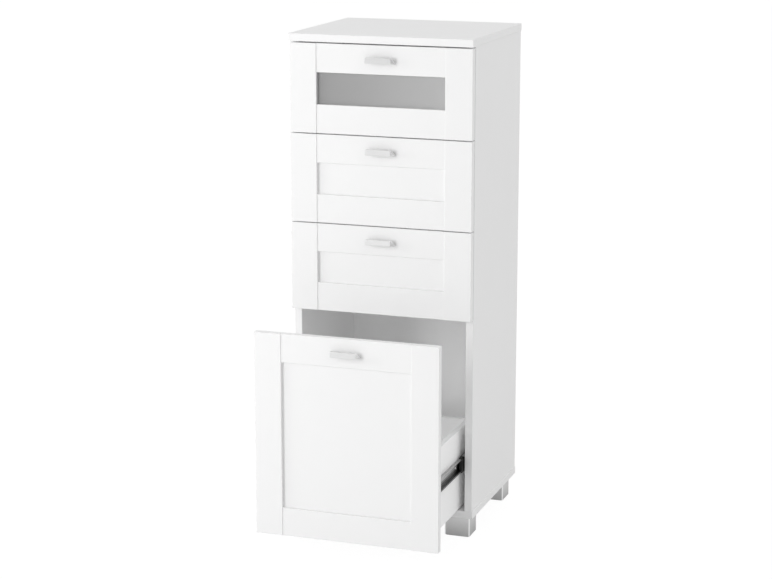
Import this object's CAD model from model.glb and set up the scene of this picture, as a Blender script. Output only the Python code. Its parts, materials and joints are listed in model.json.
# Bathroom storage tower: the looks, the light and the camera round its packed construction.
# Metres, +Z up, the fronts face -Y. Sizes in the pieces' dictionaries are millimetres.

import json
import math

import bmesh
import bpy
from mathutils import Matrix, Vector


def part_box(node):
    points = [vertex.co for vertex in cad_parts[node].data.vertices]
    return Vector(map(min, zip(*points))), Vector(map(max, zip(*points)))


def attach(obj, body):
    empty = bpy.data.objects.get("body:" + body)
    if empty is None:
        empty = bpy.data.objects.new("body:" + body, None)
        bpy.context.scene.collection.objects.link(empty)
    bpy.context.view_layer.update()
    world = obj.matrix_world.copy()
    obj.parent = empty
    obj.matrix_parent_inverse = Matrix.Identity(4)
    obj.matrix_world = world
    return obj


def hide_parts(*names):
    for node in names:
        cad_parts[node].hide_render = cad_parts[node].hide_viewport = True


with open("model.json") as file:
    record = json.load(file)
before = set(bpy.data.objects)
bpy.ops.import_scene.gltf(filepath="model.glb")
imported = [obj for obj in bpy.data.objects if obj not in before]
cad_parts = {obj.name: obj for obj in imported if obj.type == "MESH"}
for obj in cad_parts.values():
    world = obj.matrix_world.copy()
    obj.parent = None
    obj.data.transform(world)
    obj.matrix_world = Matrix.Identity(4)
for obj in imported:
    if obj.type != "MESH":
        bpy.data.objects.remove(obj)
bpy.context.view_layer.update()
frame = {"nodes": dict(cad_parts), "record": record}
nodes = frame["nodes"]
scene = bpy.context.scene
mm = 0.001
tiny = 1e-6  # metres; points nearer than this are one
sides = (-1, 1)  # left and right
units = ["drawer_1", "drawer_2", "drawer_3", "pull_out"]
glazedUnit = "drawer_1"
print("construction loaded:", len(nodes), "nodes")

# Camera, where the photograph was taken from

photoCamera = {
    "place": (1.393617, -4.051189, 1.496591),
    "yaw": 19.0974,
    "pitch": 12.8614,
    "lens": 96.768,
    "sensor": 36,
    "sees": 60,
}


def makeCamera(look):
    lens = bpy.data.cameras.new("photoCamera")
    lens.lens = look["lens"]
    lens.sensor_width = look["sensor"]
    lens.clip_end = look["sees"]
    camera = bpy.data.objects.new("photoCamera", lens)
    camera.location = look["place"]
    camera.rotation_euler = (math.radians(90 - look["pitch"]), 0, math.radians(look["yaw"]))
    scene.collection.objects.link(camera)
    scene.camera = camera


# Shader maths


class Wire:  # an output of a node, with the maths that the finishes use
    def __init__(self, finish, socket):
        self.finish = finish
        self.socket = socket

    def maths(self, operation, first, second=0.0):
        return self.finish.add("Math", {"operation": operation}, {0: first, 1: second})

    def __add__(self, other):
        return self.maths("ADD", self, other)

    def __rsub__(self, other):
        return self.maths("SUBTRACT", other, self)

    def __mul__(self, other):
        return self.maths("MULTIPLY", self, other)

    __radd__ = __add__
    __rmul__ = __mul__

    def above(self, level):
        return self.maths("GREATER_THAN", self, level)

    def most(self, other):
        return self.maths("MAXIMUM", self, other)

    def size(self):
        return self.maths("ABSOLUTE", self)


class Finish:  # the nodes of a material or of the world
    def __init__(self, owner):
        owner.use_nodes = True
        self.owner = owner
        self.tree = owner.node_tree
        self.tree.nodes.clear()

    def add(self, kind, settings=None, sockets=None, out=0):
        node = self.tree.nodes.new("ShaderNode" + kind)
        for name, value in (settings or {}).items():
            if name == "stops":
                self.setStops(node.color_ramp.elements, value)
            else:
                setattr(node, name, value)
        for name, value in (sockets or {}).items():
            if isinstance(value, Wire):
                self.tree.links.new(value.socket, node.inputs[name])
            else:
                node.inputs[name].default_value = value
        return Wire(self, node.outputs[out]) if node.outputs else None

    def setStops(self, elements, stops):
        while len(elements) < len(stops):
            elements.new(0.5)
        for element, (place, level) in zip(elements, stops):
            element.position = place
            element.color = grey(level)

    def place(self, scale=(1, 1, 1)):  # object coordinates, stretched
        return self.add("Mapping", {}, {"Vector": self.add("TexCoord", out="Object"), "Scale": scale})

    def part(self, vector, axis):
        return self.add("SeparateXYZ", {}, {0: vector}, axis)

    def noise(self, grain, scale=(1, 1, 1), detail=2.0, rough=0.5):  # grain is in millimetres
        return self.add("TexNoise", {}, {"Vector": self.place(scale), "Scale": 1 / (grain * mm),
                                         "Detail": detail, "Roughness": rough}, "Fac")

    def ramp(self, share, stops):
        return self.add("ValToRGB", {"stops": stops}, {"Fac": share}, "Color")

    def mix(self, share, first, second):
        return self.add("Mix", {"data_type": "RGBA"}, {0: share, 6: first, 7: second}, 2)

    def bump(self, height, relief):  # relief is in millimetres
        return self.add("Bump", {}, {"Height": height, "Distance": relief * mm}, "Normal")

    def end(self, **sockets):
        named = {name.replace("_", " "): value for name, value in sockets.items()}
        shader = self.add("BsdfPrincipled", {}, named, "BSDF")
        self.add("OutputMaterial", {}, {"Surface": shader})
        return self.owner


def grey(level):
    return (level, level, level, 1)


def around(middle, spread, pattern):  # a value that wanders round its middle
    return pattern * spread + (middle - spread / 2)


def both(first, second, share):  # two patterns in one, with this share of the first
    return first * share + second * (1 - share)


# Finishes

boards = {
    "carcass_white": {"white": 0.87, "dull": 0.985, "rough": 0.42, "grain": 1.3, "relief": 0.012},
    "front_lacquer": {"white": 0.86, "dull": 0.988, "rough": 0.34, "grain": 2.2, "relief": 0.008},
    "inner_white": {"white": 0.96, "dull": 0.98, "rough": 0.52, "grain": 0.9, "relief": 0.012},
}
boardSheen = {"drift": 140, "haze": 28, "spread": 0.1, "shine": 0.2}


def boardFinish(name, look):  # melamine or lacquer: a faint pebble, and sheen that drifts over the board
    finish = Finish(bpy.data.materials.new(name))
    drift = finish.noise(boardSheen["drift"], detail=3.0)
    haze = finish.noise(boardSheen["haze"], detail=4.0, rough=0.6)
    pebble = finish.noise(look["grain"], detail=1.5)
    return finish.end(
        Base_Color=finish.mix(drift, grey(look["white"] * look["dull"]), grey(look["white"])),
        Roughness=around(look["rough"], boardSheen["spread"], haze),
        Specular_IOR_Level=boardSheen["shine"],
        Normal=finish.bump(pebble, look["relief"]),
    )


hardboard = {
    "white": 0.95,
    "dull": 0.98,
    "bare": (0.36, 0.235, 0.14, 1),
    "fibre": (0.50, 0.35, 0.225, 1),
    "contrast": [(0.36, 0.0), (0.62, 1.0)],
    "rough": 0.6,
    "bareRougher": 0.2,
    "shine": 0.4,
    "grain": 1.1,
    "run": (1, 1, 0.35),
    "blotch": 60,
    "relief": 0.02,
}


def hardboardFinish():  # painted white towards the drawers, brown fibres on the rear face
    finish = Finish(bpy.data.materials.new("back_panel_hardboard"))
    low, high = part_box("back_panel")
    bare = finish.part(finish.place(), 1).above((low.y + high.y) / 2)
    fibres = finish.noise(hardboard["grain"], hardboard["run"], detail=6.0, rough=0.7)
    blotches = finish.noise(hardboard["blotch"], detail=3.0)
    speckle = finish.ramp(both(fibres, blotches, 0.7), hardboard["contrast"])
    brown = finish.mix(speckle, hardboard["bare"], hardboard["fibre"])
    white = finish.mix(blotches, grey(hardboard["white"] * hardboard["dull"]), grey(hardboard["white"]))
    return finish.end(
        Base_Color=finish.mix(bare, white, brown),
        Roughness=bare * hardboard["bareRougher"] + hardboard["rough"],
        Specular_IOR_Level=hardboard["shine"],
        Normal=finish.bump(fibres, hardboard["relief"]),
    )


glass = {
    "left": 0.44,
    "right": 0.71,
    "half": 140,
    "rough": 0.42,
    "spread": 0.08,
    "through": 0.45,
    "index": 1.5,
    "etch": 0.8,
    "cloud": 45,
    "relief": 0.006,
}


def glassFinish():  # etched on one face, so that it scatters what little light is behind it
    finish = Finish(bpy.data.materials.new("frosted_glass"))
    etch = finish.noise(glass["etch"], detail=3.0)
    cloud = finish.noise(glass["cloud"], detail=2.0)
    paler = finish.part(finish.place(), 0) * (0.5 / (glass["half"] * mm)) + 0.5  # paler towards the right
    return finish.end(
        Base_Color=finish.mix(both(paler, cloud, 0.9), grey(glass["left"]), grey(glass["right"])),
        Roughness=around(glass["rough"], glass["spread"], etch),
        Transmission_Weight=glass["through"],
        IOR=glass["index"],
        Normal=finish.bump(etch, glass["relief"]),
    )


brushed, rolled, even = (0.04, 1, 1), (1, 0.02, 1), (1, 1, 1)  # grain drawn out along X, along Y, not at all
metals = {
    "handle_metal": {"light": 0.8, "dark": 0.75, "rough": 0.3, "grain": 0.5, "run": brushed, "relief": 0.006},
    "silver_foot": {"light": 0.72, "dark": 0.66, "rough": 0.33, "grain": 0.35, "run": even, "relief": 0.004},
    "runner_steel": {"light": 0.50, "dark": 0.40, "rough": 0.3, "grain": 0.8, "run": rolled, "relief": 0.01},
    "screw_steel": {"light": 0.56, "dark": 0.48, "rough": 0.28, "grain": 0.4, "run": even, "relief": 0.006},
    "cam_zinc": {"light": 0.46, "dark": 0.38, "rough": 0.45, "grain": 0.7, "run": even, "relief": 0.02},
}
metalPatch = {"size": 9, "spread": 0.1}
footWear = {"high": 40, "uneven": 0.1, "dark": 0.44, "rubbed": 0.98}
grease = {  # stops run from a drawer member's lower edge to its upper one; two pressed lines stay clean
    "dark": 0.09,
    "stops": [(0.0, 0.1), (0.11, 0.1), (0.14, 0.8), (0.17, 0.8), (0.2, 0.05), (0.27, 0.05), (0.3, 0.6),
              (0.33, 0.6), (0.36, 0.15), (0.44, 0.25), (0.47, 1.0)],
}


def wornFoot(finish, colour, patch):  # duller down by the floor, rubbed bright at the upright corners
    height = finish.part(finish.place(), 2) * (1 / (footWear["high"] * mm))
    colour = finish.mix(height + patch * footWear["uneven"], grey(footWear["dark"]), colour)
    facing = finish.add("TexCoord", out="Normal")
    right, back = (finish.part(facing, axis).size() for axis in range(2))
    return finish.mix(right * back * 2, colour, grey(footWear["rubbed"]))


def greasedRunner(finish, colour, patch):  # members without the attribute stay clean
    across = finish.add("Attribute", {"attribute_name": "across"}, out="Fac")
    return finish.mix(finish.ramp(across * 0.5 + 0.5, grease["stops"]), grey(grease["dark"]), colour)


wear = {"silver_foot": wornFoot, "runner_steel": greasedRunner}


def metalFinish(name, look):  # plated or cast metal, its grain drawn out along the way it was worked
    finish = Finish(bpy.data.materials.new(name))
    grain = finish.noise(look["grain"], look["run"], detail=4.0, rough=0.6)
    patch = finish.noise(metalPatch["size"], detail=3.0)
    colour = finish.mix(both(grain, patch, 0.6), grey(look["dark"]), grey(look["light"]))
    if name in wear:
        colour = wear[name](finish, colour, patch)
    return finish.end(
        Base_Color=colour,
        Metallic=1.0,
        Roughness=around(look["rough"], metalPatch["spread"], patch),
        Normal=finish.bump(grain, look["relief"]),
    )


plastic = {
    "dark": 0.011,
    "worn": 0.02,
    "rough": 0.45,
    "spread": 0.14,
    "spark": 0.25,
    "patch": 5,
    "relief": 0.01,
}


def plasticFinish():  # black moulding with a spark-eroded texture
    finish = Finish(bpy.data.materials.new("cage_plastic"))
    spark = finish.noise(plastic["spark"], detail=2.0)
    worn = finish.noise(plastic["patch"], detail=3.0)
    return finish.end(
        Base_Color=finish.mix(worn, grey(plastic["dark"]), grey(plastic["worn"])),
        Roughness=around(plastic["rough"], plastic["spread"], worn),
        Normal=finish.bump(spark, plastic["relief"]),
    )


beech = {
    "dark": (0.62, 0.45, 0.27, 1),
    "light": (0.80, 0.64, 0.43, 1),
    "rough": 0.65,
    "spread": 0.1,
    "grain": 0.6,
    "run": (1, 1, 0.15),
    "relief": 0.02,
}


def beechFinish():
    finish = Finish(bpy.data.materials.new("beech"))
    rays = finish.noise(beech["grain"], beech["run"], detail=4.0)
    return finish.end(
        Base_Color=finish.mix(rays, beech["dark"], beech["light"]),
        Roughness=around(beech["rough"], beech["spread"], rays),
        Normal=finish.bump(rays, beech["relief"]),
    )


finishes = {name: boardFinish(name, look) for name, look in boards.items()}
finishes.update({name: metalFinish(name, look) for name, look in metals.items()})
finishes["hardboard"] = hardboardFinish()
finishes["frosted_glass"] = glassFinish()
finishes["cage_plastic"] = plasticFinish()
finishes["beech"] = beechFinish()


def dressNodes():  # the boards keep their construction shape and take their finish
    slotOf = {part["node"]: part["material_slot"] for part in frame["record"]["subparts"]}
    for name, node in nodes.items():
        paintedFloor = name.endswith("_box_floor")  # white on both faces
        slot = "inner_white" if paintedFloor else slotOf[name]
        node.data.materials.clear()
        node.data.materials.append(finishes[slot])


# Modelling helpers

cornerAngle = math.radians(30)  # an edge that turns more than this is softened
sharpAngle = math.radians(40)  # an edge that turns more than this shades sharp
bendSteps = 4


def spot(point):
    return Matrix.Translation(Vector(point))


def aim(place, outward):  # local +Z points outward from the place
    turn = Vector((0, 0, 1)).rotation_difference(Vector(outward)).to_matrix().to_4x4()
    return spot(place) @ turn


def lay(rows, shift=(0, 0, 0)):  # a turn from the rows of its matrix, then a shift
    return spot(shift) @ Matrix(rows).to_4x4()


def vertsOf(geom):
    return [item for item in geom if isinstance(item, bmesh.types.BMVert)]


def soften(bm, edges, width, segments=3):
    bmesh.ops.bevel(bm, geom=list(edges), offset=width, offset_type="OFFSET", affect="EDGES",
                    segments=segments, profile=0.5, material=-1, clamp_overlap=True)


def corners(bm):  # the edges at which a closed shape turns
    return [edge for edge in bm.edges if len(edge.link_faces) == 2 and edge.calc_face_angle(0) > cornerAngle]


def upright(edges):
    return [edge for edge in edges if abs(edge.verts[0].co.z - edge.verts[1].co.z) > tiny]


def addPiece(name, bm, slot, body, replaced):
    bmesh.ops.recalc_face_normals(bm, faces=bm.faces[:])
    mesh = bpy.data.meshes.new(name)
    bm.to_mesh(mesh)
    bm.free()
    mesh.materials.append(finishes[slot])
    mesh.shade_smooth()
    mesh.set_sharp_from_angle(angle=sharpAngle)
    piece = bpy.data.objects.new(name, mesh)
    scene.collection.objects.link(piece)
    flats = piece.modifiers.new("flatFaces", "WEIGHTED_NORMAL")
    flats.keep_sharp = True
    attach(piece, body)
    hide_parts(replaced)


def addPart(bm, part, turn=None):  # puts one bmesh into another
    if turn:
        part.transform(turn)
    shell = bpy.data.meshes.new("part")
    part.to_mesh(shell)
    part.free()
    bm.from_mesh(shell)
    bpy.data.meshes.remove(shell)


def string(part, points):  # a chain of edges through (right, up) points, in millimetres
    verts = [part.verts.new((right * mm, 0, up * mm)) for right, up in points]
    return verts, [part.edges.new(pair) for pair in zip(verts, verts[1:])]


def softBlock(low, high, edge):  # a block between two corners, with soft edges
    part = bmesh.new()
    low, high = Vector(low), Vector(high)
    bmesh.ops.create_cube(part, size=1, matrix=spot((low + high) / 2) @ Matrix.Diagonal((*(high - low), 1)))
    soften(part, part.edges[:], edge)
    return part


def spun(points, steps):  # a closed or open shape of revolution round Z from (radius, height) points
    part = bmesh.new()
    verts, edges = string(part, points)
    bmesh.ops.spin(part, geom=verts + edges, cent=(0, 0, 0), axis=(0, 0, 1),
                   angle=math.tau, steps=steps, use_merge=True)
    bmesh.ops.remove_doubles(part, verts=part.verts[:], dist=tiny)
    return part


def thicken(part, faces, way):  # faces grow into a closed block along a vector
    grown = bmesh.ops.extrude_face_region(part, geom=faces)["geom"]
    bmesh.ops.translate(part, vec=way, verts=vertsOf(grown))


def bentSheet(path, radii, sheet, long):  # rolled to the right of a path in XZ, with a radius at each bend
    part = bmesh.new()
    verts, edges = string(part, path)
    bmesh.ops.extrude_edge_only(part, edges=edges)
    part.verts.ensure_lookup_table()
    bmesh.ops.translate(part, vec=(0, long * mm, 0), verts=part.verts[len(verts):])
    for (right, up), radius in zip(path[1:-1], radii):
        bend = [edge for edge in part.edges if not edge.is_boundary
                and all((vert.co.xz - Vector((right, up)) * mm).length < tiny for vert in edge.verts)]
        soften(part, bend, radius * mm, bendSteps)
    bmesh.ops.solidify(part, geom=part.faces[:], thickness=-sheet * mm)
    return part


def pierced(columns, rows, holes, thick):  # a plate on these lines, without its open cells
    part = bmesh.new()
    wide, high = len(columns) - 1, len(rows) - 1
    bmesh.ops.create_grid(part, x_segments=wide, y_segments=high, size=0.5)
    cells = {face: face.calc_center_median() + Vector((0.5, 0.5, 0)) for face in part.faces}
    gaps = [face for face, at in cells.items() if (int(at.x * wide), int(at.y * high)) in holes]
    bmesh.ops.delete(part, geom=gaps, context="FACES")
    for vert in part.verts:
        column, row = round((vert.co.x + 0.5) * wide), round((vert.co.y + 0.5) * high)
        vert.co = Vector((columns[column], rows[row], 0)) * mm
    thicken(part, part.faces[:], (0, 0, thick * mm))
    bmesh.ops.recalc_face_normals(part, faces=part.faces[:])
    return part


# Handles

handle = {
    "plateWidth": 54.5,
    "plateHeight": 12,
    "metal": 2.5,
    "shelf": 6,
    "slope": 11,
    "toe": 14,
    "edge": 0.4,
    "edgeSteps": 4,
    "bossWide": 7.2,
    "bossLong": 6.05,
    "bossDrop": 8.64,
    "bossApart": 32,
    "bossSteps": 28,
}


def buildHandle(unit):
    size = {name: value * mm for name, value in handle.items()}
    low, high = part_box(unit + "_handle")
    reach = high.y - low.y
    plateHalf, footHalf = size["plateWidth"] / 2, (high.x - low.x) / 2
    metal = size["metal"]
    outline = [
        (-reach, 0),
        (size["shelf"] - reach, 0),
        (0, -size["slope"]),
        (0, -size["toe"]),
        (2 * metal - reach, -metal),
        (metal - reach, -metal),
        (metal - reach, -size["plateHeight"]),
        (-reach, -size["plateHeight"]),
    ]
    bm = bmesh.new()
    end = bm.faces.new([bm.verts.new((-1, back, up)) for back, up in outline])
    thicken(bm, [end], (2, 0, 0))
    for vert in bm.verts:  # the web widens towards the front
        flare = max(0, (vert.co.y + reach - size["shelf"]) / (reach - size["shelf"]))
        vert.co.x *= plateHalf + flare * (footHalf - plateHalf)
    bmesh.ops.recalc_face_normals(bm, faces=bm.faces[:])
    soften(bm, corners(bm), size["edge"], handle["edgeSteps"])
    wide, long = handle["bossWide"] / 2, handle["bossLong"]
    for side in sides:
        boss = spun([(0, 0), (wide, 0), (wide, long), (0, long)], handle["bossSteps"])
        addPart(bm, boss, aim((side * size["bossApart"] / 2, 0, -size["bossDrop"]), (0, -1, 0)))
    bm.transform(spot((0, high.y, high.z)))
    addPiece(unit + "_handle_cast", bm, "handle_metal", unit, unit + "_handle")


# Feet: copies of the construction's, with every edge softened

foot = {"edge": 0.7, "wall": 6, "screwPlaces": (0.3, 0.7), "mergeWithin": 0.01, "flatWithin": 1}
footNodes = [name for name in nodes if name.startswith("foot_") and name != "foot_screws"]


def buildFoot(node):
    bm = bmesh.new()
    bm.from_mesh(nodes[node].data)
    bmesh.ops.remove_doubles(bm, verts=bm.verts[:], dist=foot["mergeWithin"] * mm)
    bmesh.ops.dissolve_limit(bm, angle_limit=math.radians(foot["flatWithin"]), verts=bm.verts[:],
                             edges=bm.edges[:])
    soften(bm, corners(bm), foot["edge"] * mm)
    addPiece(node + "_moulding", bm, "silver_foot", "carcass", node)


# Runners: rolled members, and cages that carry the balls between them

runner = {
    "sheet": 1.2,
    "bend": 1.6,
    "nook": 0.4,
    "length": 300,
    "screwPlaces": (0.12, 0.6, 0.92),
    "drawerHigh": 12.5,
    "drawerTip": 14.2,
    "drawerLip": 7.6,
    "cabinetHigh": 17.5,
    "cabinetTip": 14.6,
    "cabinetLip": 2.2,
    "cabinetWeb": 12.7,
}
cage = {
    "plateAt": 9.1,
    "plate": 1,
    "high": 16,
    "windowHalf": 5.5,
    "windowHigh": 7.5,
    "windowRound": 2.5,
    "armFrom": 3.7,
    "armLow": 14.5,
    "pocket": 2.1,
    "pocketRound": 1.7,
    "pocketSteps": 5,
    "nose": 12,
    "noseHigh": 11,
    "noseFrom": 4.4,
    "noseEdge": 0.8,
    "ball": 3.6,
    "ballAt": 5.5,
    "ballHigh": 14.4,
    "firstBall": 22.6,
    "pitch": 9,
    "balls": 8,
}


def runnerSeat(unit, side, startOf=None):  # on the box's side, where a node starts; X runs away from the box
    low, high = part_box(unit + "_runners")
    boxSide = high.x - (runner["drawerLip"] + runner["sheet"]) * mm
    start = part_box(startOf)[0].y if startOf else low.y
    return spot((side * boxSide, start, (low.z + high.z) / 2)) @ Matrix.Diagonal((side, 1, 1, 1))


def buildDrawerRunners(unit):
    lip, high, tip = runner["drawerLip"], runner["drawerHigh"], runner["drawerTip"]
    path = [(lip, -tip), (lip, -high), (0, -high), (0, high), (lip, high), (lip, tip)]
    radii = [runner[name] for name in ("nook", "bend", "bend", "nook")]
    bm = bmesh.new()
    for side in sides:
        addPart(bm, bentSheet(path, radii, runner["sheet"], runner["length"]), runnerSeat(unit, side))
    middle = runnerSeat(unit, 1).translation.z
    across = bm.verts.layers.float.new("across")  # from -1 at the lower edge to 1 at the upper one
    for vert in bm.verts:
        vert[across] = (vert.co.z - middle) / (high * mm)
    addPiece(unit + "_runners_rolled", bm, "runner_steel", unit, unit + "_runners")


def buildCabinetRunners():
    lip, web, high, tip = (runner[name] for name in ("cabinetLip", "cabinetWeb", "cabinetHigh", "cabinetTip"))
    path = [(lip, tip), (lip, high), (web, high), (web, -high), (lip, -high), (lip, -tip)]
    radii = [runner["bend"]] * 4
    bm = bmesh.new()
    for unit in units:
        for side in sides:
            member = bentSheet(path, radii, runner["sheet"], runner["length"])
            addPart(bm, member, runnerSeat(unit, side, "cabinet_runners"))
    addPiece("cabinet_runners_rolled", bm, "runner_steel", "carcass", "cabinet_runners")


def ballPlaces():  # along the cage, from its front end
    return [cage["firstBall"] + step * cage["pitch"] for step in range(cage["balls"])]


def openings(middles, half, long):  # the lines across a plate with these openings, and its open columns
    lines = [0] + [edge for middle in middles for edge in (middle - half, middle + half)] + [long]
    return lines, range(1, len(lines) - 1, 2)


def cageWeb(long):  # a thin plate with a window for each pair of balls
    places = ballPlaces()
    pairs = [(first + second) / 2 for first, second in zip(places[::2], places[1::2])]
    lines, opened = openings(pairs, cage["windowHalf"], long)
    rows = [-cage["high"], -cage["windowHigh"], cage["windowHigh"], cage["high"]]
    web = pierced(lines, rows, {(column, 1) for column in opened}, cage["plate"])
    soften(web, upright(corners(web)), cage["windowRound"] * mm)
    return web


def cageArm(long):  # an arm with an open pocket for each ball
    inner = cage["ballAt"] + cage["pocket"]
    lines, opened = openings(ballPlaces(), cage["pocket"], long)
    rows = [cage["armFrom"], inner, cage["plateAt"] + cage["plate"]]
    arm = pierced(lines, rows, {(column, 0) for column in opened}, cage["high"] - cage["armLow"])
    nooks = [edge for edge in upright(corners(arm)) if abs(edge.verts[0].co.y - inner * mm) < tiny]
    soften(arm, nooks, cage["pocketRound"] * mm, cage["pocketSteps"])
    return arm


def cageMoulding(long):  # local: X away from the box, Y along the cage
    outer = (cage["plateAt"] + cage["plate"]) * mm
    bm = bmesh.new()
    addPart(bm, cageWeb(long), lay(((0, 0, 1), (1, 0, 0), (0, 1, 0)), (cage["plateAt"] * mm, 0, 0)))
    for end in sides:  # here the lower and the upper arm
        shift = (0, 0, end * cage["armLow"] * mm)
        addPart(bm, cageArm(long), lay(((0, 1, 0), (1, 0, 0), (0, 0, end)), shift))
    near, far, high = cage["noseFrom"] * mm, cage["nose"] * mm, cage["noseHigh"] * mm
    addPart(bm, softBlock((near, 0, -high), (outer, far, high), cage["noseEdge"] * mm))
    return bm


def buildCages(unit):
    node = unit + "_ball_cages"
    low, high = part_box(node)
    plastic, steel = bmesh.new(), bmesh.new()
    for side in sides:
        seat = runnerSeat(unit, side, node)
        addPart(plastic, cageMoulding((high.y - low.y) / mm), seat)
        for place in ballPlaces():
            for end in sides:
                ball = seat @ spot((cage["ballAt"] * mm, place * mm, end * cage["ballHigh"] * mm))
                bmesh.ops.create_icosphere(steel, subdivisions=3, radius=cage["ball"] / 2 * mm, matrix=ball)
    addPiece(unit + "_cages_moulded", plastic, "cage_plastic", unit + "_cages", node)
    addPiece(unit + "_cage_balls", steel, "screw_steel", unit + "_cages", node)


# Glass clips, bent from strip

clip = {
    "wide": 16,
    "apart": 200,
    "sheet": 1.2,
    "foot": 10,
    "lap": 6,
    "gap": 0.2,
    "bend": 1.5,
    "nook": 0.3,
    "screwUp": 5.8,
}


def frameBack():
    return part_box(glazedUnit + "_stiles")[1].y


def clipSeats():  # behind the frame, level with the pane's edges; local +Z points away from the glass
    low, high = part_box(glazedUnit + "_glass_pane")
    seats = []
    for side in sides:
        across = side * clip["apart"] / 2 * mm
        seats.append(spot((across, frameBack(), high.z)))
        seats.append(spot((across, frameBack(), low.z)) @ Matrix.Diagonal((1, 1, -1, 1)))
    return seats


def buildClips():
    sunk = (frameBack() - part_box(glazedUnit + "_glass_pane")[1].y) / mm
    path = [(-sunk, -clip["lap"]), (-sunk, 0), (0, 0), (0, clip["gap"] + clip["foot"])]
    bm = bmesh.new()
    for seat in clipSeats():
        strip = bentSheet(path, [clip["bend"], clip["nook"]], clip["sheet"], clip["wide"])
        addPart(bm, strip, seat @ lay(((0, 1, 0), (1, 0, 0), (0, 0, 1)), (-clip["wide"] / 2 * mm, 0, 0)))
    addPiece("glass_clips_bent", bm, "runner_steel", glazedUnit, glazedUnit + "_glass_clips")


# Screws with a cross recess

screws = {
    "runner": {"head": 7, "rise": 1, "shaft": 3.5, "length": 10},
    "pan": {"head": 7, "rise": 2, "shaft": 3.5, "length": 11.2},
    "handle": {"head": 8, "rise": 2, "shaft": 4, "length": 19.64},
    "clip": {"head": 7, "rise": 1, "shaft": 3.5, "length": 10},
    "foot": {"head": 7, "rise": 1, "shaft": 3.5, "length": 16},
}
screwSteps = 24
screwPoint = {"wide": 0.25, "long": 0.6}  # shares of the shaft's width
headCurve = [(0.5, 0), (0.5, 0.35), (0.46, 0.75), (0.36, 1)]  # shares of the head's width and rise
cross = {"arm": 0.3, "half": 0.075, "floor": 0.8, "deep": 0.8, "deepest": 1.2}  # the last one in millimetres


def crossFace(part, head, top, depth):  # closes an open round top with a sunk cross
    arm, half = cross["arm"] * head * mm, cross["half"] * head * mm
    outline = [(arm, -half), (arm, half), (half, half), (half, arm), (-half, arm), (-half, half),
               (-arm, half), (-arm, -half), (-half, -half), (-half, -arm), (half, -arm), (half, -half)]
    narrow = cross["floor"]
    rim = [edge for edge in part.edges if edge.is_boundary]
    floor = part.faces.new([part.verts.new((right * narrow, up * narrow, (top - depth) * mm))
                            for right, up in outline])
    walls = bmesh.ops.extrude_edge_only(part, edges=floor.edges[:])["geom"]
    for vert in vertsOf(walls):
        vert.co = (vert.co.x / narrow, vert.co.y / narrow, top * mm)
    lip = [edge for edge in part.edges if edge.is_boundary and edge not in rim]
    bmesh.ops.bridge_loops(part, edges=rim + lip)


def screwShape(look):
    head, rise, shaft, length = (look[name] for name in ("head", "rise", "shaft", "length"))
    narrow, taper = shaft * screwPoint["wide"], shaft * screwPoint["long"]
    point = [(0, -length), (narrow, -length), (shaft / 2, taper - length), (shaft / 2, 0)]
    part = spun(point + [(head * out, rise * up) for out, up in headCurve], screwSteps)
    crossFace(part, head, rise, min(rise * cross["deep"], cross["deepest"]))
    return part


def addScrews(bm, kind, seats, outward):
    for seat in seats:
        addPart(bm, screwShape(screws[kind]), aim(seat, outward))


def runnerScrewSeats(unit, side, away, startOf=None):
    along = [share * runner["length"] * mm for share in runner["screwPlaces"]]
    return [runnerSeat(unit, side, startOf) @ Vector((away * mm, start, 0)) for start in along]


def buildCabinetScrews():
    web = runner["cabinetWeb"] - runner["sheet"]
    bm = bmesh.new()
    for unit in units:
        for side in sides:
            addScrews(bm, "runner", runnerScrewSeats(unit, side, web, "cabinet_runners"), (-side, 0, 0))
    addPiece("cabinet_screws_crossed", bm, "screw_steel", "carcass", "cabinet_runner_screws")


def buildUnitScrews(unit):
    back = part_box(unit + "_stiles")[1].y
    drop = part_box(unit + "_handle")[1].z - handle["bossDrop"] * mm
    bm = bmesh.new()
    addScrews(bm, "handle", [(side * handle["bossApart"] / 2 * mm, back, drop) for side in sides], (0, 1, 0))
    for side in sides:
        addScrews(bm, "pan", runnerScrewSeats(unit, side, runner["sheet"]), (side, 0, 0))
    if unit == glazedUnit:
        place = Vector((0, clip["sheet"] * mm, clip["screwUp"] * mm))
        addScrews(bm, "clip", [seat @ place for seat in clipSeats()], (0, 1, 0))
    addPiece(unit + "_screws_crossed", bm, "screw_steel", unit, unit + "_screws")


def buildFootScrews():
    bm = bmesh.new()
    for node in footNodes:
        low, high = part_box(node)
        deep, up = (low.y + high.y) / 2, high.z - foot["wall"] * mm
        for share in foot["screwPlaces"]:
            along = share * (high.x - low.x)
            across = low.x + along if low.x > 0 else high.x - along
            addScrews(bm, "foot", [(across, deep, up)], (0, 0, -1))
    addPiece("foot_screws_crossed", bm, "screw_steel", "carcass", "foot_screws")


# Cams with their bolts, and fluted dowels, in the ends of the boards

joinery = {
    "cam": 15,
    "camDeep": 12,
    "camReach": 34,
    "camFront": 45,
    "camRear": 75,
    "camSteps": 40,
    "bolt": 6,
    "boltBite": 1,
    "boltSteps": 20,
    "seat": 11,
    "dowelStep": 40,
    "dowel": 8,
    "dowelLong": 30,
    "flutes": 16,
    "fluteDeep": 0.03,
}
camRim = [(0, -0.4), (0.4, 0), (1.3, 0), (1.6, -0.6), (2.6, -0.6), (2.9, 0)]  # inwards from its edge, and up
camCross = {"margin": 4, "deep": 2.2}
boltRoot, boltNeck, boltPoint = 0.78, 0.7, 0.6  # shares of the bolt's width
boltCollar = [(0.8, 0), (1, 0.3), (1, 2), (boltNeck, 2.4)]  # shares of the width, and ways from the board
boltHead = [(boltNeck, 3), (1, 2.4), (1, 0.6), (boltNeck, 0), (0, 0)]  # the same, and ways from the cam
dowelEnd = {"inwards": 0.9, "long": 1.2}


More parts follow.
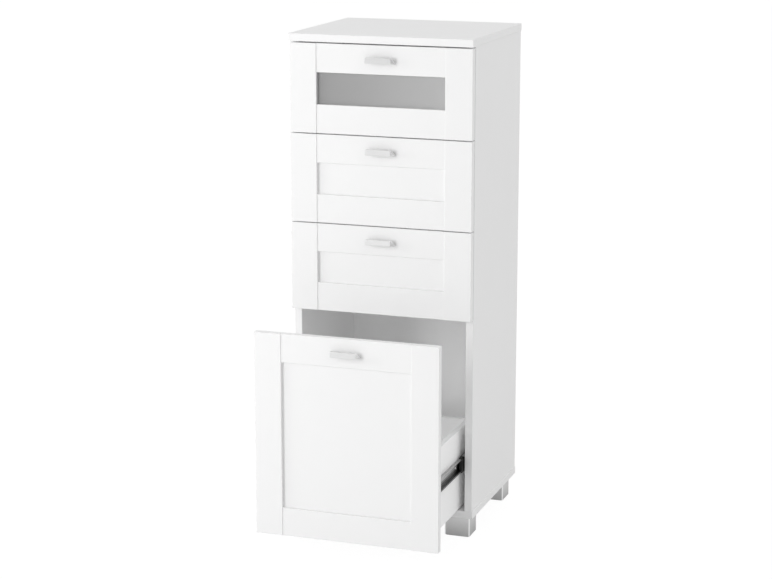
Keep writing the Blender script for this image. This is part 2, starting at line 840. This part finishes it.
def camShape():
    wide, deep = joinery["cam"] / 2, joinery["camDeep"]
    rim = [(wide - inwards, up) for inwards, up in camRim]
    part = spun([(0, -deep), (wide, -deep)] + rim, joinery["camSteps"])
    crossFace(part, joinery["cam"] - camCross["margin"], 0, camCross["deep"])
    return part


def boltShape(long):  # its thread bites over the last stretch
    wide, seat = joinery["bolt"] / 2, joinery["seat"]
    turns = [(share, 1 + step - seat) for turn in range(seat - 2)
             for share, step in ((boltRoot, turn), (1, turn + 0.5))]
    head = [(share, long - way) for share, way in boltHead]
    outline = [(0, -seat), (boltPoint, -seat)] + turns + boltCollar + head
    return spun([(wide * share, up) for share, up in outline], joinery["boltSteps"])


def dowelShape():
    wide, half, flutes = joinery["dowel"] / 2, joinery["dowelLong"] / 2, joinery["flutes"]
    narrow, end = wide - dowelEnd["inwards"], half - dowelEnd["long"]
    outline = [(0, -half), (narrow, -half), (wide, -end), (wide, end), (narrow, half), (0, half)]
    part = spun(outline, 2 * flutes)
    for vert in part.verts:  # every other edge sinks into a flute
        wave = math.cos(flutes * math.atan2(vert.co.y, vert.co.x))
        vert.co.xy *= 1 - joinery["fluteDeep"] * (1 - wave)
    return part


def buildJoinery():
    low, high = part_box("side_panel_right")
    shelfLow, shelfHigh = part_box("fixed_shelf")
    ends = [(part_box("bottom_panel")[1].z, -1), (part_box("top_panel")[0].z, 1)]
    shelf = (shelfLow.z + shelfHigh.z) / 2
    size = {name: value * mm for name, value in joinery.items()}
    rows = [(low.y + size["camFront"], 1), (high.y - size["camRear"], -1)]
    dowelMiddle = size["seat"] - size["dowelLong"] / 2
    boltLong = joinery["camReach"] - joinery["cam"] / 2 + joinery["boltBite"]
    zinc, wood = bmesh.new(), bmesh.new()
    for side in sides:
        for camY, step in rows:
            dowelY = camY + step * size["dowelStep"]
            for end, up in ends:
                cam = (side * low.x, camY, end - up * size["camReach"])
                bolt = (side * (low.x + size["camDeep"] / 2), camY, end)
                dowel = (side * (low.x + high.x) / 2, dowelY, end + up * dowelMiddle)
                addPart(zinc, camShape(), aim(cam, (-side, 0, 0)))
                addPart(zinc, boltShape(boltLong), aim(bolt, (0, 0, -up)))
                addPart(wood, dowelShape(), spot(dowel))
            addPart(wood, dowelShape(), aim((side * (low.x + dowelMiddle), dowelY, shelf), (side, 0, 0)))
    addPiece("cams_and_bolts", zinc, "cam_zinc", "carcass", "cam_fittings")
    addPiece("fluted_dowels", wood, "beech", "carcass", "dowels")


makeCamera(photoCamera)
dressNodes()
print("camera and finishes ready")
for node in footNodes:
    buildFoot(node)
buildFootScrews()
buildCabinetRunners()
buildCabinetScrews()
buildJoinery()
print("carcass fittings ready")
for unit in units:
    buildHandle(unit)
    buildDrawerRunners(unit)
    buildCages(unit)
    buildUnitScrews(unit)
buildClips()
print("drawer fittings ready")

# Studio, in metres, watts and degrees: a white floor that keeps a soft shadow, a pale sky and two softboxes
# on the left

studio = {
    "bounces": 16,  # light finds its way to the bottom of a white box
    "skyLevel": 0.84,
    "skyRight": 0.17,
    "skyBack": 0.34,
    "skyUp": -0.12,
    "floorColour": 0.85,
    "floorWhite": 1.05,
    "floorGlow": 0.9,
    "floorMirrored": 0.3,
    "floorSize": 30,
}
softboxes = {
    "tallSoftbox": {"left": 31, "up": 13, "aim": 0.55, "wide": 1.2, "high": 2.4, "power": 78},
    "sideSoftbox": {"left": 68, "up": 12, "aim": 0.45, "wide": 1.2, "high": 1.6, "power": 34},
}
softboxAway = 4.5


def reflectedRay(finish):  # a ray off metal or through glass
    mirrored = finish.add("LightPath", out="Is Glossy Ray")
    return mirrored.most(finish.add("LightPath", out="Is Transmission Ray"))


def makeSky(look):
    finish = Finish(bpy.data.worlds.new("sky"))
    scene.world = finish.owner
    shown = reflectedRay(finish).most(finish.add("LightPath", out="Is Camera Ray"))
    way = finish.add("TexCoord", out="Generated")
    right, back, up = (finish.part(way, axis) for axis in range(3))
    sky = look["skyLevel"] + right * look["skyRight"] + back * look["skyBack"] + up * look["skyUp"]
    light = finish.add("Background", {}, {"Color": grey(1), "Strength": shown + (1 - shown) * sky})
    finish.add("OutputWorld", {}, {"Surface": light})


def makeFloor(look):
    finish = Finish(bpy.data.materials.new("studioFloor"))
    seen = finish.add("LightPath", out="Is Camera Ray") * look["floorGlow"]
    share = seen + reflectedRay(finish) * look["floorMirrored"]
    matt = finish.add("BsdfDiffuse", {}, {"Color": grey(look["floorColour"])})
    glow = finish.add("Emission", {}, {"Color": grey(1), "Strength": look["floorWhite"]})
    finish.add("OutputMaterial", {}, {"Surface": finish.add("MixShader", {}, {0: share, 1: matt, 2: glow})})
    bm = bmesh.new()
    bmesh.ops.create_grid(bm, x_segments=1, y_segments=1, size=look["floorSize"] / 2)
    mesh = bpy.data.meshes.new("floor")
    bm.to_mesh(mesh)
    bm.free()
    mesh.materials.append(finish.owner)
    floor = bpy.data.objects.new("floor", mesh)
    scene.collection.objects.link(floor)


def makeSoftbox(name, look):
    light = bpy.data.lights.new(name, "AREA")
    light.shape = "RECTANGLE"
    light.size = look["wide"]
    light.size_y = look["high"]
    light.energy = look["power"]
    left, up = math.radians(look["left"]), math.radians(look["up"])
    level = Vector((-math.sin(left), -math.cos(left), 0)) * math.cos(up)
    away = (level + Vector((0, 0, math.sin(up)))) * softboxAway
    softbox = bpy.data.objects.new(name, light)
    softbox.location = Vector((0, 0, look["aim"])) + away
    softbox.rotation_euler = (-away).to_track_quat("-Z", "Y").to_euler()
    softbox.visible_glossy = False
    scene.collection.objects.link(softbox)


makeSky(studio)
makeFloor(studio)
for name, look in softboxes.items():
    makeSoftbox(name, look)
scene.view_settings.view_transform = "Standard"
scene.cycles.max_bounces = studio["bounces"]
scene.cycles.diffuse_bounces = studio["bounces"]
print("studio ready")
